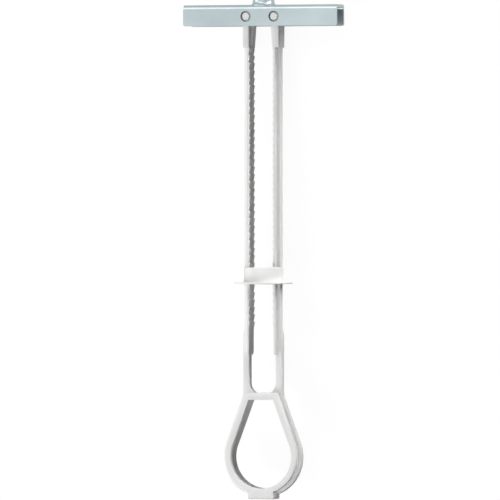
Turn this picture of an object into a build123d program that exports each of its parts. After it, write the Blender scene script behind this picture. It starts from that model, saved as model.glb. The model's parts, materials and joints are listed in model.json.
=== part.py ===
from build123d import *
from math import asin, atan2, cos, degrees, hypot, sin, sqrt, tan
import os

# Toggle anchor for hollow walls, lying on its back. X runs along the channel, Y along the bolt
# towards the back of the wall, Z is up. The origin is where the bolt's thread enters the web.

# Steel channel, folded from sheet, with a drawn and threaded collar
channel_length = 47.6
channel_width = 8.3
channel_height = 6.3
sheet = 0.9
inside_bend = 0.5
corner_round = 0.6
thread_major = 4.83
collar_base = 7.6
collar_outside = 6.4
collar_height = 2.6
collar_flare = 1.1
collar_chamfer = 0.3

# Pins of the strap heads, which turn in holes through both flanges
pin_spacing = 8.68
pin_drop = 2.56
pin_diameter = 3.0
pin_gap = 0.1
pin_tip = 2.0
pin_tip_height = 0.4
pin_recess = 0.05

# Heads: offsets are measured outwards or inwards from the line through the strap's pin
head_out = 1.2
head_in = 0.59
head_length = 9.24
head_side_gap = 0.2
wedge_in_top = 1.35
wedge_in_end = 0.75
wedge_gap = 0.05

# Straps: a toothed blade with a rib down its outer side
strap_side_gap = 0.45
blade_out = 0.1
tooth_root = 0.44
tooth_crest = 0.74
tooth_pitch = 2.2
tooth_count = 38
tooth_step = 0.12
tooth_land = 0.4
plain_length = 7.7
blade_corner = 1.2
rib_out = 1.2
rib_width = 2.6
rib_edge = 0.35
swell_length = 1.8

# Necks: the thin ends that bend when the ring tilts, parted at the middle of the bend
neck_out = 1.76
neck_in = 0.19
neck_length = 11.3
neck_gap = 0.05
neck_root_height = 3.0
neck_root_width = 1.7

# Pull ring: a teardrop band with a rib round it, a crossbar on top and a thumb block below
ring_depth = 6.5
ring_radius = 11.1
ring_band = 1.65
ring_rib = 0.93
ring_drop = 19.0
ring_shoulder = 4.76
crossbar = 2.1
thumb_width = 8.15
thumb_drop = 1.5
thumb_round = 0.7
thumb_corner = 0.3

# Cap: a collar that enters the wall's hole and a flange that stays outside it
cap_gap = 0.1
collar_wall = 0.5
cap_collar_length = 4.5
flange_overhang = 2.85
flange_thickness = 0.55
flange_rim = 0.4
cap_tooth = 31
tongue_rise = 1.6
tongue_height = 1.6
tongue_base = 0.65
tongue_tip_gap = 0.1
tongue_slope = 0.5
cap_edge = 0.3

# Places that several pieces share
pin_x = pin_spacing / 2
pin_y = -pin_drop
pin_radius = pin_diameter / 2
channel_inside = channel_width - 2 * sheet
head_depth = channel_inside - 2 * head_side_gap
strap_depth = channel_inside - 2 * strap_side_gap
head_end = pin_y - head_length
teeth_end = head_end - tooth_count * tooth_pitch
blade_end = teeth_end - plain_length
crossbar_top = blade_end - neck_length
pivot_y = (blade_end + crossbar_top) / 2
wall_face = head_end - cap_tooth * tooth_pitch - tongue_rise


def left(outward, y):
    # a point on the left strap, outward from the line through its pin
    return (-pin_x - outward, y)


def drawn_collar():
    top = sheet + collar_height
    outside = collar_outside / 2
    with BuildLine() as outline:
        Polyline((0, top), (outside - collar_chamfer, top), (outside, top - collar_chamfer),
                 (outside, sheet + collar_flare))
        TangentArc((outside, sheet + collar_flare), (collar_base / 2, sheet), tangent=(0, -1))
        Polyline((collar_base / 2, sheet), (collar_base / 2, sheet / 2), (0, sheet / 2), (0, top))
    return revolve(make_face(outline.line), Axis.Y)


def toggle_channel():
    flange_edge = sheet - channel_height
    section = Pos(sheet - channel_height / 2, 0) * Rectangle(channel_height, channel_width)
    section = fillet(section.vertices().group_by(Axis.X)[-1], inside_bend + sheet)
    hollow = Pos(flange_edge / 2, 0) * Rectangle(-flange_edge, channel_inside)
    hollow = fillet(hollow.vertices().group_by(Axis.X)[-1], inside_bend)
    body = extrude(Plane.YZ * (section - hollow), channel_length / 2, both=True)
    free_corners = body.edges().filter_by(Axis.Z).group_by(Axis.Y)[0]
    body = fillet(free_corners, corner_round)
    body += drawn_collar()
    bore_length = sheet + collar_height + channel_height
    body -= Rot(90, 0, 0) * Cylinder(thread_major / 2, 2 * bore_length)
    for side in (-1, 1):
        body -= Pos(side * pin_x, pin_y, 0) * Cylinder(pin_radius + pin_gap, 2 * channel_width)
    return body


def pin():
    half = channel_width / 2 - pin_recess
    tip = pin_tip / 2
    shoulder = half - pin_tip_height
    outline = Polyline((0, -half), (tip, -half), (pin_radius, -shoulder), (pin_radius, shoulder),
                       (tip, half), (0, half), close=True)
    return Pos(-pin_x, pin_y, 0) * revolve(Plane.XZ * make_face(outline), Axis.Z)


def head():
    block = make_face(Polyline(left(head_out, pin_y), left(head_out, head_end), left(-head_in, head_end),
                               left(-head_in, pin_y), close=True))
    wedge = make_face(Polyline(left(0, pin_y), left(0, head_end), left(-wedge_in_end, head_end),
                               left(-wedge_in_top, pin_y), close=True))
    eye = Pos(-pin_x, pin_y, 0) * Cylinder(pin_radius, head_depth)
    half = head_depth / 2
    flare = Pos(0, 0, -half) * extrude(wedge, half - wedge_gap)
    return extrude(block, half, both=True) + eye + flare + pin()


def blade():
    points = [left(-tooth_root, blade_end), left(blade_out, blade_end), left(blade_out, head_end)]
    for tooth in range(tooth_count):
        top = head_end - tooth * tooth_pitch
        land = top - tooth_step
        points += [left(-tooth_root, top), left(-tooth_crest, land), left(-tooth_crest, land - tooth_land)]
    points.append(left(-tooth_root, teeth_end))
    body = extrude(make_face(Polyline(*points, close=True)), strap_depth / 2, both=True)
    return fillet(body.edges().filter_by(Axis.X).group_by(Axis.Y)[0], blade_corner)


def rib_and_neck():
    # the free end is round about the point that the neck bends at
    swell_end = teeth_end - swell_length
    bend = degrees(asin(neck_in / neck_out))
    bend_end = pivot_y - sqrt(neck_out**2 - neck_in**2)
    buried = blade_end + blade_corner
    with BuildLine() as outline:
        Polyline(left(0, buried), left(0, head_end), left(rib_out, head_end), left(rib_out, teeth_end),
                 left(neck_out, swell_end), left(neck_out, pivot_y))
        CenterArc(left(0, pivot_y), neck_out, 180, 90 + bend)
        Polyline(left(-neck_in, bend_end), left(-neck_in, buried), left(0, buried))
    body = extrude(make_face(outline.line), rib_width / 2, both=True)
    outer_edges = body.faces().sort_by(Axis.X)[0].edges().filter_by(Axis.Y)
    return fillet(outer_edges, rib_edge)


def strap_left():
    return head() + blade() + rib_and_neck()


def teardrop(offset, top):
    # closed face, offset from the band's outer side: a round bottom and straight sides that lean inwards
    centre = crossbar_top - ring_drop
    radius = ring_radius + offset
    lean = asin(ring_radius / hypot(ring_shoulder, ring_drop)) - atan2(ring_shoulder, ring_drop)
    touch = (radius * cos(lean), centre + radius * sin(lean))
    end = (touch[0] - (top - touch[1]) * tan(lean), top)
    with BuildLine() as outline:
        Polyline(touch, end, (-end[0], top), (-touch[0], touch[1]))
        ThreePointArc((-touch[0], touch[1]), (0, centre - radius), touch)
    return make_face(outline.line)


def neck_stub():
    # the ring's end of the left neck, flat where it faces the strap's rounded end
    stub_top = pivot_y - neck_out - neck_gap
    root = crossbar_top + neck_root_height
    buried = crossbar_top - crossbar / 2
    with BuildLine() as outline:
        Polyline(left(-neck_in - neck_root_width, crossbar_top), left(-neck_in - neck_root_width, buried),
                 left(neck_out, buried), left(neck_out, stub_top), left(-neck_in, stub_top),
                 left(-neck_in, root))
        TangentArc(left(-neck_in, root), left(-neck_in - neck_root_width, crossbar_top), tangent=(0, -1))
    return extrude(make_face(outline.line), rib_width / 2, both=True)


def thumb_block():
    low = crossbar_top - ring_drop - ring_radius - thumb_drop
    height = thumb_drop + ring_band
    block = Pos(0, low + height / 2, 0) * Box(thumb_width, height, ring_depth)
    block = fillet(block.edges().filter_by(Axis.X).group_by(Axis.Y)[0], thumb_round)
    return fillet(block.edges().filter_by(Axis.Z).group_by(Axis.Y)[0], thumb_corner)


def pull_ring():
    half = ring_depth / 2
    hole = extrude(teardrop(-ring_band, crossbar_top - crossbar), ring_depth, both=True)
    band = extrude(teardrop(0, crossbar_top), half, both=True)
    rib = extrude(teardrop(ring_rib, crossbar_top), rib_width / 2, both=True)
    stub = neck_stub()
    return band + rib + thumb_block() - hole + stub + Rot(0, 180, 0) * stub


def ratchet_tongue(collar_radius):
    # a thin bridge inside the collar; its flat lower face would meet the steep face of a tooth
    outer = pin_x - tooth_crest - tongue_tip_gap
    inner = outer - tongue_base
    low = wall_face + tongue_rise
    high = low + tongue_height
    face = make_face(Polyline((inner, low), (outer, low), (outer - tongue_slope, high), (inner, high),
                              close=True))
    bridge = extrude(face, collar_radius, both=True)
    collar_core = Cylinder(collar_radius - collar_wall / 2, 4 * tongue_height)
    return bridge & Pos(0, low, 0) * Rot(90, 0, 0) * collar_core


def cap_windows():
    # the blades pass through the flange, the ribs through the flange and through slots in the collar
    length = 2 * (cap_collar_length + flange_thickness)
    below = wall_face - length / 2
    blades = Pos(0, below, 0) * Box(2 * (pin_x + blade_out + cap_gap), length, strap_depth + 2 * cap_gap)
    slots = Box(2 * (pin_x + rib_out + cap_gap), 2 * length, rib_width + 2 * cap_gap)
    return blades + Pos(0, wall_face, 0) * slots


def ratchet_cap():
    collar_inside = hypot(pin_x + blade_out + cap_gap, strap_depth / 2 + cap_gap)
    collar_radius = collar_inside + collar_wall
    flange_radius = collar_radius + flange_overhang
    top = wall_face + cap_collar_length
    bottom = wall_face - flange_thickness
    outline = Polyline((0, wall_face), (collar_inside, wall_face), (collar_inside, top),
                       (collar_radius - cap_edge, top), (collar_radius, top - cap_edge),
                       (collar_radius, wall_face), (flange_radius, wall_face),
                       (flange_radius, wall_face - flange_rim), (collar_radius, bottom), (0, bottom),
                       close=True)
    body = revolve(make_face(outline), Axis.Y) - cap_windows()
    tongue = ratchet_tongue(collar_radius)
    return body + tongue + Rot(0, 180, 0) * tongue


strap = strap_left()
pieces = {
    "toggle_channel": toggle_channel(),
    "strap_left": strap,
    "strap_right": Rot(0, 180, 0) * strap,
    "pull_ring": pull_ring(),
    "ratchet_cap": ratchet_cap(),
}

os.makedirs("parts", exist_ok=True)
for name, piece in pieces.items():
    export_step(piece, f"parts/{name}.step")
    print(name, round(piece.volume, 2), "mm3")
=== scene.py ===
import bpy
import bmesh
import json
import math
from mathutils import Matrix, Vector


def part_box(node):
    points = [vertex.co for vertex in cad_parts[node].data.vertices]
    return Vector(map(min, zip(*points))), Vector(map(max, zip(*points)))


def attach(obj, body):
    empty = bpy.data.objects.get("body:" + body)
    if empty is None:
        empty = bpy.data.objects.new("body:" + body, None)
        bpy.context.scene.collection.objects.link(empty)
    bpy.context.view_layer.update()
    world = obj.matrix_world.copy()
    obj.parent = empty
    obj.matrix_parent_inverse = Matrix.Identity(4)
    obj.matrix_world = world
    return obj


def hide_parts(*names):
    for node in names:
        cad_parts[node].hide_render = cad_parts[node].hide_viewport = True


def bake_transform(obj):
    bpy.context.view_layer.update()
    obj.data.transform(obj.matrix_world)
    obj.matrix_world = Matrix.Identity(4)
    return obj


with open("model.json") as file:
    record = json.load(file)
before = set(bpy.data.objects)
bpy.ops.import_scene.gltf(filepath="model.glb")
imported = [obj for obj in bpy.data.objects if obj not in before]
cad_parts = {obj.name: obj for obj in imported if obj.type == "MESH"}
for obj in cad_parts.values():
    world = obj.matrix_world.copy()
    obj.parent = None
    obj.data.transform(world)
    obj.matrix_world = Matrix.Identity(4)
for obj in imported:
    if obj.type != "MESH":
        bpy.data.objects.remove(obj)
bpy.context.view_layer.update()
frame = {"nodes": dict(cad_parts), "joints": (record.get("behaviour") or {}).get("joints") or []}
mm = 0.001
joints = {joint["name"]: joint for joint in frame["joints"]}
nodes = frame["nodes"]
print("frame loaded:", ", ".join(sorted(nodes)))


# camera, set by the photograph: pixels are those of its 500 x 500 frame
photo = {
    "width": 500,
    "pixelsPerMm": 3.363,
    "turnDeg": 17.0,      # seen from the object's right
    "dropDeg": 0.0,       # more would look from the ring's end
    "originX": 263.6,     # where the origin shows
    "originY": 8.0,
    "lens": 650.0,
    "sensor": 36.0,
    "nearest": 0.1,       # m from the camera, what it still draws
    "furthest": 20.0,
}


def addCamera(p):
    turn, drop = math.radians(p["turnDeg"]), math.radians(p["dropDeg"])
    back = Vector((math.sin(turn) * math.cos(drop), -math.sin(drop), math.cos(turn) * math.cos(drop)))
    right = Vector((0, 1, 0)).cross(back).normalized()
    up = back.cross(right)
    half = p["width"] / 2
    scale = mm / p["pixelsPerMm"]
    centre = right * ((half - p["originX"]) * scale) - up * ((half - p["originY"]) * scale)
    distance = p["lens"] / p["sensor"] * p["width"] * scale
    camera = bpy.data.objects.new("camera", bpy.data.cameras.new("camera"))
    bpy.context.scene.collection.objects.link(camera)
    camera.data.sensor_width = p["sensor"]
    camera.data.lens = p["lens"]
    camera.data.clip_start = p["nearest"]
    camera.data.clip_end = p["furthest"]
    turned = Matrix((right, up, back)).transposed()
    camera.matrix_world = Matrix.Translation(centre + back * distance) @ turned.to_4x4()
    bpy.context.scene.camera = camera
    print("camera at", round(distance, 3), "m")


# materials

def newMaterial(name):
    material = bpy.data.materials.new(name)
    material.use_nodes = True
    tree = material.node_tree
    shader = tree.nodes["Principled BSDF"]
    return material, tree, shader


def addNode(tree, kind, **values):
    node = tree.nodes.new(kind)
    for key, value in values.items():
        if key in node.inputs:
            node.inputs[key].default_value = value
        else:
            setattr(node, key, value)
    return node


def objectCoords(tree, scale=(1, 1, 1)):
    coords = addNode(tree, "ShaderNodeTexCoord")
    mapping = addNode(tree, "ShaderNodeMapping", Scale=scale)
    tree.links.new(coords.outputs["Object"], mapping.inputs["Vector"])
    return mapping.outputs["Vector"]


def noise(tree, vector, scale, detail, roughness=0.5):
    node = addNode(tree, "ShaderNodeTexNoise", Scale=scale, Detail=detail, Roughness=roughness)
    tree.links.new(vector, node.inputs["Vector"])
    return node.outputs["Fac"]


def twoColours(tree, fac, p):
    # from the deep to the pale colour, between the two places of blend
    node = addNode(tree, "ShaderNodeValToRGB")
    colours = (p["deepColour"], p["paleColour"])
    for element, place, colour in zip(node.color_ramp.elements, p["blend"], colours):
        element.position = place
        element.color = (*colour, 1)
    tree.links.new(fac, node.inputs["Fac"])
    return node.outputs["Color"]


def mapRange(tree, fac, low, high):
    node = addNode(tree, "ShaderNodeMapRange")
    node.inputs["To Min"].default_value = low
    node.inputs["To Max"].default_value = high
    tree.links.new(fac, node.inputs["Value"])
    return node.outputs["Result"]


def bump(tree, height, strength, distance, normal=None):
    node = addNode(tree, "ShaderNodeBump", Strength=strength, Distance=distance)
    tree.links.new(height, node.inputs["Height"])
    if normal:
        tree.links.new(normal, node.inputs["Normal"])
    return node.outputs["Normal"]


zinc = {
    "paleColour": (0.395, 0.453, 0.465),
    "deepColour": (0.339, 0.392, 0.409),
    "blend": (0.3, 0.7),               # clouds below the first are deep, above the second pale
    "cloudScale": 90.0,
    "rollScale": (120, 2600, 2600),    # rolling lines run along the channel
    "roughLow": 0.27,
    "roughHigh": 0.40,
    "rollBump": 0.12,
    "rollDepth": 0.04 * mm,
    "grainScale": 5200.0,
    "grainBump": 0.10,
    "grainDepth": 0.02 * mm,
}


def zincSheet(p):
    material, tree, shader = newMaterial("zincSheet")
    plain = objectCoords(tree)
    stretched = objectCoords(tree, p["rollScale"])
    clouds = noise(tree, plain, p["cloudScale"], detail=4.0)
    lines = noise(tree, stretched, scale=1.0, detail=4.0, roughness=0.6)
    grain = noise(tree, plain, p["grainScale"], detail=2.0)
    shader.inputs["Metallic"].default_value = 1.0
    tree.links.new(twoColours(tree, clouds, p), shader.inputs["Base Color"])
    tree.links.new(mapRange(tree, lines, p["roughLow"], p["roughHigh"]), shader.inputs["Roughness"])
    rolled = bump(tree, lines, p["rollBump"], p["rollDepth"])
    tree.links.new(bump(tree, grain, p["grainBump"], p["grainDepth"], rolled), shader.inputs["Normal"])
    return material


plastic = {
    "paleColour": (0.87, 0.87, 0.865),
    "deepColour": (0.82, 0.82, 0.812),
    "blend": (0.3, 0.7),
    "flowScale": (260, 60, 260),       # the plastic flowed along the straps
    "roughLow": 0.38,
    "roughHigh": 0.50,
    "skinScale": 2400.0,
    "skinBump": 0.06,
    "skinDepth": 0.03 * mm,
    "gloss": 0.02,
    "ior": 1.5,
    "glow": 0.08,                      # light that enters the plastic and comes out again
    "glowDepth": 1.2 * mm,
}

capPlastic = {
    **plastic,
    "paleColour": (0.95, 0.95, 0.945),
    "deepColour": (0.91, 0.91, 0.90),
}


def mouldedPlastic(name, p):
    material, tree, shader = newMaterial(name)
    flow = noise(tree, objectCoords(tree, p["flowScale"]), scale=1.0, detail=3.0)
    skin = noise(tree, objectCoords(tree), p["skinScale"], detail=2.0)
    tree.links.new(twoColours(tree, flow, p), shader.inputs["Base Color"])
    tree.links.new(mapRange(tree, flow, p["roughLow"], p["roughHigh"]), shader.inputs["Roughness"])
    tree.links.new(bump(tree, skin, p["skinBump"], p["skinDepth"]), shader.inputs["Normal"])
    shader.inputs["Specular IOR Level"].default_value = p["gloss"]
    shader.inputs["IOR"].default_value = p["ior"]
    shader.inputs["Subsurface Weight"].default_value = p["glow"]
    shader.inputs["Subsurface Scale"].default_value = p["glowDepth"]
    shader.inputs["Subsurface Radius"].default_value = (1.0, 1.0, 1.0)
    return material


zincMaterial = zincSheet(zinc)
strapMaterial = mouldedPlastic("strapPlastic", plastic)
capMaterial = mouldedPlastic("capPlastic", capPlastic)
print("materials made")


# moulded pieces: the CAD solids' shapes with softened edges, and the necks between the crossbar and
# the blades

strap = {
    "edge": 0.04 * mm,
    "shoulderFrom": 1.2 * mm,   # off the pin's axis, the foot of the chamfer at its ends
    "shoulderTo": 1.6 * mm,
    "shoulderAbove": 3.5 * mm,  # from the middle of the pin
    "shoulderDrop": 0.45 * mm,  # the chamfer runs down into the channel's hole
}

necks = {
    "out": 1.76 * mm,           # from the line of the pins
    "in": 0.32 * mm,
    "halfDepth": 1.3 * mm,
    "round": 0.35 * mm,
    "roundSteps": 3,
    "length": 11.3 * mm,
    "rootHeight": 3.0 * mm,     # where it spreads into the crossbar
    "rootWidth": 1.7 * mm,
    "steps": 40,
    "stays": 0.3 * mm,          # what the strap's own mesh keeps of it
    "skin": 0.01 * mm,          # "skin": 0.01 * mm, # the neck covers that end
    "buried": 1.0 * mm,         # in the crossbar and in the blade
}

ring = {
    "edge": 0.08 * mm,
}

cap = {
    "edge": 0.04 * mm,
}

mould = {
    "merge": 0.0001 * mm,       # corners nearer than this are one
    "cut": 0.002 * mm,          # corners nearer than this to a cut lie on it
    "sliver": 0.001 * mm,       # faces thinner than this are taken out
    "flatDeg": 1.0,             # faces within this angle are one
    "edgeDeg": 35.0,            # sharper edges are rounded
    "edgeSteps": 2,
    "smoothDeg": 30.0,          # edges flatter than this shade smooth
}


def newObject(name, bm):
    mesh = bpy.data.meshes.new(name)
    bm.to_mesh(mesh)
    bm.free()
    obj = bpy.data.objects.new(name, mesh)
    bpy.context.scene.collection.objects.link(obj)
    return obj


def finished(obj):
    # its modifiers become its mesh, without slivers, shaded smooth apart from sharp edges
    shape = obj.evaluated_get(bpy.context.evaluated_depsgraph_get())
    mesh = bpy.data.meshes.new_from_object(shape)
    bm = bmesh.new()
    bm.from_mesh(mesh)
    bmesh.ops.triangulate(bm, faces=bm.faces)
    bmesh.ops.remove_doubles(bm, verts=bm.verts, dist=mould["sliver"])
    bmesh.ops.dissolve_degenerate(bm, edges=bm.edges, dist=mould["sliver"])
    twins = {}      # faces on the same corners, folded flat on each other
    for face in bm.faces:
        twins.setdefault(frozenset(face.verts), []).append(face)
    folded = [face for faces in twins.values() if len(faces) > 1 for face in faces]
    bmesh.ops.delete(bm, geom=folded, context="FACES")
    bm.to_mesh(mesh)
    bm.free()
    obj.modifiers.clear()
    obj.data = mesh
    mesh.name = obj.name
    mesh.polygons.foreach_set("use_smooth", [True] * len(mesh.polygons))
    mesh.set_sharp_from_angle(angle=math.radians(mould["smoothDeg"]))
    return obj


def dropPinShoulders(bm, pinX, pinY):
    for v in bm.verts:
        offAxis = math.hypot(abs(v.co.x) - pinX, v.co.y - pinY)
        onShoulder = strap["shoulderFrom"] < offAxis < strap["shoulderTo"]
        if onShoulder and abs(v.co.z) > strap["shoulderAbove"]:
            v.co.z -= math.copysign(strap["shoulderDrop"], v.co.z)


def softened(name, node, edge, keep=None, pins=None):
    # a merged copy of a CAD node with rounded edges; keep = (side, y) leaves only that side of y
    bm = bmesh.new()
    bm.from_mesh(nodes[node].data)
    bmesh.ops.remove_doubles(bm, verts=bm.verts, dist=mould["merge"])
    if keep:
        side, y = keep
        everything = bm.verts[:] + bm.edges[:] + bm.faces[:]
        cut = bmesh.ops.bisect_plane(bm, geom=everything, plane_co=(0, y, 0), plane_no=(0, side, 0),
                                     clear_inner=True, dist=mould["cut"])
        rim = [item for item in cut["geom_cut"] if isinstance(item, bmesh.types.BMEdge)]
        bmesh.ops.holes_fill(bm, edges=rim)
    flat = math.radians(mould["flatDeg"])
    bmesh.ops.dissolve_limit(bm, angle_limit=flat, verts=bm.verts, edges=bm.edges)
    if pins:
        dropPinShoulders(bm, *pins)
    bmesh.ops.recalc_face_normals(bm, faces=bm.faces)
    obj = newObject(name, bm)
    rounding = obj.modifiers.new("rounding", "BEVEL")
    rounding.width = edge
    rounding.segments = mould["edgeSteps"]
    rounding.use_clamp_overlap = False      # one short edge would hold back all of them
    rounding.miter_outer = "MITER_ARC"
    rounding.limit_method = "ANGLE"
    rounding.angle_limit = math.radians(mould["edgeDeg"])
    return finished(obj)


def neckSection(inner, outer, depth, p):
    # rounded rectangle round the neck, in x and z
    points = []
    size = p["round"]
    near, far = inner + size, outer - size
    corners = ((near, size - depth), (far, size - depth), (far, depth - size), (near, depth - size))
    for corner, (x, z) in enumerate(corners):
        for bend in range(p["roundSteps"] + 1):
            angle = math.radians(180 + 90 * (corner + bend / p["roundSteps"]))
            points.append((x + size * math.cos(angle), z + size * math.sin(angle)))
    return points


def bendingNeck(name, side, pinX, crossbarTop, bladeEnd, p):
    # from inside the crossbar to inside the blade; its root spreads inwards on an arc
    low, high = crossbarTop - p["buried"], bladeEnd + p["buried"]
    radius = (p["rootWidth"] ** 2 + p["rootHeight"] ** 2) / (2 * p["rootWidth"])
    bm = bmesh.new()
    rows = []
    for step in range(p["steps"] + 1):
        y = low + (high - low) * step / p["steps"]
        left = p["rootHeight"] - min(max(y - crossbarTop, 0), p["rootHeight"])
        spread = radius - math.sqrt(radius ** 2 - left ** 2)
        skin = p["skin"] if 0 < step < p["steps"] else -p["skin"]
        inner, outer = pinX - p["in"] - spread - skin, pinX + p["out"] + skin
        section = neckSection(inner, outer, p["halfDepth"] + skin, p)
        rows.append([bm.verts.new((side * x, y, z)) for x, z in section])
    for lower, upper in zip(rows, rows[1:]):
        for i in range(len(lower)):
            bm.faces.new((lower[i - 1], lower[i], upper[i], upper[i - 1]))
    bm.faces.new(rows[0])
    bm.faces.new(rows[-1][::-1])
    bmesh.ops.recalc_face_normals(bm, faces=bm.faces)
    return finished(newObject(name, bm))


def dress(piece, material, slot, body, *replaced):
    piece.data.materials.clear()
    piece.data.materials.append(material)
    if replaced:
        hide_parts(*replaced)
    if body:
        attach(piece, body)


def makeMouldings():
    pivot = Vector(joints["ring_tilt"]["pos_m"])
    pinX = abs(pivot.x)
    pinY = joints["channel_fold"]["pos_m"][1]
    bladeEnd = pivot.y + necks["length"] / 2
    crossbarTop = pivot.y - necks["length"] / 2
    cut = bladeEnd - necks["stays"]
    for name, node in (("leftStrap", "strap_left"), ("rightStrap", "strap_right")):
        shape = softened(name, node, strap["edge"], keep=(1, cut), pins=(pinX, pinY))
        dress(shape, strapMaterial, "white_plastic", node, node)
    shape = softened("pullRing", "pull_ring", ring["edge"], keep=(-1, crossbarTop))
    dress(shape, strapMaterial, "white_plastic", "ring", "pull_ring")
    for name, side, body in (("leftNeck", -1, "strap_left"), ("rightNeck", 1, "strap_right")):
        neck = bendingNeck(name, side, pinX, crossbarTop, bladeEnd, necks)
        dress(neck, strapMaterial, "white_plastic", None)
        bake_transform(neck)
    shape = softened("ratchetCap", "ratchet_cap", cap["edge"])
    dress(shape, capMaterial, "cap_plastic", "cap", "ratchet_cap")
    print("mouldings made")


makeMouldings()


# thread in the drawn collar, made by Geometry Nodes along a helix

thread = {
    "majorRadius": 2.415 * mm,
    "sunk": 0.02 * mm,          # the ridge's middle is that far inside the wall
    "depth": 0.46 * mm,
    "pitch": 25.4 / 24 * mm,
    "ridge": 0.62 * mm,         # width of the ridge where it meets the wall
    "steps": 40,                # to a turn
    "plainEnds": 0.35,          # of a turn, at either end of the hole
}


def threadTree():
    tree = bpy.data.node_groups.new("threadRidge", "GeometryNodeTree")
    tree.interface.new_socket("Geometry", in_out="OUTPUT", socket_type="NodeSocketGeometry")
    for name in ("Radius", "Pitch", "Turns", "Depth", "Ridge"):
        tree.interface.new_socket(name, in_out="INPUT", socket_type="NodeSocketFloat")
    tree.interface.new_socket("Steps", in_out="INPUT", socket_type="NodeSocketInt")
    tree.interface.new_socket("Material", in_out="INPUT", socket_type="NodeSocketMaterial")
    link = tree.links.new
    given = addNode(tree, "NodeGroupInput")
    result = addNode(tree, "NodeGroupOutput")
    spiral = addNode(tree, "GeometryNodeCurveSpiral")
    height = addNode(tree, "ShaderNodeMath", operation="MULTIPLY")
    link(given.outputs["Pitch"], height.inputs[0])
    link(given.outputs["Turns"], height.inputs[1])
    link(given.outputs["Steps"], spiral.inputs["Resolution"])
    link(given.outputs["Turns"], spiral.inputs["Rotations"])
    link(given.outputs["Radius"], spiral.inputs["Start Radius"])
    link(given.outputs["Radius"], spiral.inputs["End Radius"])
    link(height.outputs[0], spiral.inputs["Height"])
    spiral.inputs["Reverse"].default_value = True       # so that the thread is right-handed
    upright = addNode(tree, "GeometryNodeSetCurveNormal", mode="Z_UP")
    link(spiral.outputs["Curve"], upright.inputs["Curve"])
    # its section is a diamond, as deep as the thread on either side and as wide as the ridge
    ridge = addNode(tree, "GeometryNodeCurvePrimitiveCircle", mode="RADIUS", Resolution=4, Radius=1.0)
    shape = addNode(tree, "GeometryNodeTransform")
    size = addNode(tree, "ShaderNodeCombineXYZ")
    half = addNode(tree, "ShaderNodeMath", operation="MULTIPLY")
    half.inputs[1].default_value = 0.5
    link(given.outputs["Ridge"], half.inputs[0])
    link(given.outputs["Depth"], size.inputs["X"])
    link(half.outputs[0], size.inputs["Y"])
    size.inputs["Z"].default_value = 1.0
    link(ridge.outputs["Curve"], shape.inputs["Geometry"])
    link(size.outputs["Vector"], shape.inputs["Scale"])
    sweep = addNode(tree, "GeometryNodeCurveToMesh")
    sweep.inputs["Fill Caps"].default_value = True
    link(upright.outputs["Curve"], sweep.inputs["Curve"])
    link(shape.outputs["Geometry"], sweep.inputs["Profile Curve"])
    realize = addNode(tree, "GeometryNodeRealizeInstances")
    finish = addNode(tree, "GeometryNodeSetMaterial")
    link(sweep.outputs["Mesh"], realize.inputs["Geometry"])
    link(realize.outputs["Geometry"], finish.inputs["Geometry"])
    link(given.outputs["Material"], finish.inputs["Material"])
    link(finish.outputs["Geometry"], result.inputs["Geometry"])
    return tree


def setInputs(modifier, values):
    for item in modifier.node_group.interface.items_tree:
        if item.in_out == "INPUT" and item.name in values:
            modifier[item.identifier] = values[item.name]


def makeThread(p):
    # from the web's underside, at y 0, to the collar's top
    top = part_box("toggle_channel")[1].y
    obj = newObject("collarThread", bmesh.new())
    modifier = obj.modifiers.new("ridge", "NODES")
    modifier.node_group = threadTree()
    setInputs(modifier, {
        "Radius": p["majorRadius"] + p["sunk"],
        "Pitch": p["pitch"],
        "Turns": top / p["pitch"] - 2 * p["plainEnds"],
        "Depth": p["depth"],
        "Ridge": p["ridge"],
        "Steps": p["steps"],
        "Material": zincMaterial,
    })
    shape = obj.evaluated_get(bpy.context.evaluated_depsgraph_get())
    mesh = bpy.data.meshes.new_from_object(shape)
    obj.modifiers.clear()
    obj.data = mesh
    laid = Matrix.Rotation(-math.pi / 2, 4, "X")
    mesh.transform(Matrix.Translation((0, p["plainEnds"] * p["pitch"], 0)) @ laid)
    heights = [v.co.y / mm for v in mesh.vertices]
    print("thread from", round(min(heights), 2), "to", round(max(heights), 2), "mm")
    dress(obj, zincMaterial, "zinc_plated_steel", "channel")


makeThread(thread)
nodes["toggle_channel"].data.materials.clear()
nodes["toggle_channel"].data.materials.append(zincMaterial)
print("channel dressed")


# floor, background and light

studio = {
    "floorSize": 6.0,
    "floorGrey": 0.10,
    "floorRoughness": 0.9,
    "floorGlow": 0.93,              # as it is seen; to the other rays it doesn't glow
    "worldGlow": 1.0,               # as it is seen
    "worldLight": 0.01,             # what it adds to the light on the object
    "lampsFace": (0, -0.07, 0),
    "lampDistance": 0.6,
    # azimuth from +X towards +Y and elevation in degrees, width, height and radiance
    "lamps": {
        "topLamp": (0, 90, 0.30, 0.40, 0.6),
        "upperLamp": (108, 44, 0.50, 0.28, 2.1),
        "lowerLamp": (240, 46, 0.70, 0.30, 4.0),
        "leftLamp": (180, 30, 0.60, 0.26, 2.1),
        "lowLeftLamp": (180, 10, 0.60, 0.15, 1.5),
        "rightFill": (43, 4, 0.60, 0.08, 30.0),
    },
}


def seenLevel(tree, unseen, seen):
    # seen is for camera rays, glossy rays and rays through something, unseen for all others
    lightPath = addNode(tree, "ShaderNodeLightPath")
    level = lightPath.outputs["Is Camera Ray"]
    for ray in ("Is Glossy Ray", "Is Transmission Ray"):
        most = addNode(tree, "ShaderNodeMath", operation="MAXIMUM")
        tree.links.new(level, most.inputs[0])
        tree.links.new(lightPath.outputs[ray], most.inputs[1])
        level = most.outputs[0]
    return mapRange(tree, level, unseen, seen)


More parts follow.
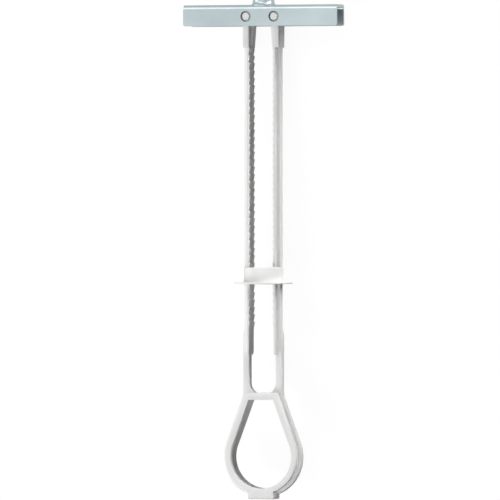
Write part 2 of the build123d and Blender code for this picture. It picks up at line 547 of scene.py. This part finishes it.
def addFloor(p):
    # it touches the cap's rim and the channel's lower edge, so it slopes a little
    capLow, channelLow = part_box("ratchet_cap")[0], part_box("toggle_channel")[0]
    slope = math.atan2(channelLow.z - capLow.z, channelLow.y - capLow.y)
    bm = bmesh.new()
    bmesh.ops.create_grid(bm, x_segments=1, y_segments=1, size=p["floorSize"] / 2)
    floor = newObject("floor", bm)
    floor.matrix_world = Matrix.Translation((0, capLow.y, capLow.z)) @ Matrix.Rotation(slope, 4, "X")
    material, tree, shader = newMaterial("floorPaper")
    shader.inputs["Base Color"].default_value = (p["floorGrey"],) * 3 + (1,)
    shader.inputs["Roughness"].default_value = p["floorRoughness"]
    shader.inputs["Specular IOR Level"].default_value = 0.0
    glow = addNode(tree, "ShaderNodeEmission")
    tree.links.new(seenLevel(tree, 0.0, p["floorGlow"]), glow.inputs["Strength"])
    both = addNode(tree, "ShaderNodeAddShader")
    tree.links.new(shader.outputs["BSDF"], both.inputs[0])
    tree.links.new(glow.outputs["Emission"], both.inputs[1])
    tree.links.new(both.outputs["Shader"], tree.nodes["Material Output"].inputs["Surface"])
    floor.data.materials.append(material)


def addWorld(p):
    world = bpy.data.worlds.new("studioWorld")
    bpy.context.scene.world = world
    world.use_nodes = True
    tree = world.node_tree
    background = tree.nodes["Background"]
    background.inputs["Color"].default_value = (1, 1, 1, 1)
    tree.links.new(seenLevel(tree, p["worldLight"], p["worldGlow"]), background.inputs["Strength"])


def addLamp(p, name, azimuthDeg, elevationDeg, width, height, radiance):
    azimuth, elevation = math.radians(azimuthDeg), math.radians(elevationDeg)
    across = Vector((-math.sin(azimuth), math.cos(azimuth), 0))
    level = Vector((math.cos(azimuth), math.sin(azimuth), 0))
    towards = level * math.cos(elevation) + Vector((0, 0, math.sin(elevation)))
    lamp = bpy.data.objects.new(name, bpy.data.lights.new(name, "AREA"))
    bpy.context.scene.collection.objects.link(lamp)
    lamp.data.shape = "RECTANGLE"
    lamp.data.size, lamp.data.size_y = width, height
    lamp.data.energy = math.pi * radiance * width * height      # in watts
    turned = Matrix((across, towards.cross(across), towards)).transposed()
    place = Vector(p["lampsFace"]) + towards * p["lampDistance"]
    lamp.matrix_world = Matrix.Translation(place) @ turned.to_4x4()


addFloor(studio)
addWorld(studio)
for name, values in studio["lamps"].items():
    addLamp(studio, name, *values)
addCamera(photo)
bpy.context.scene.view_settings.view_transform = "Standard"
print("stage set")
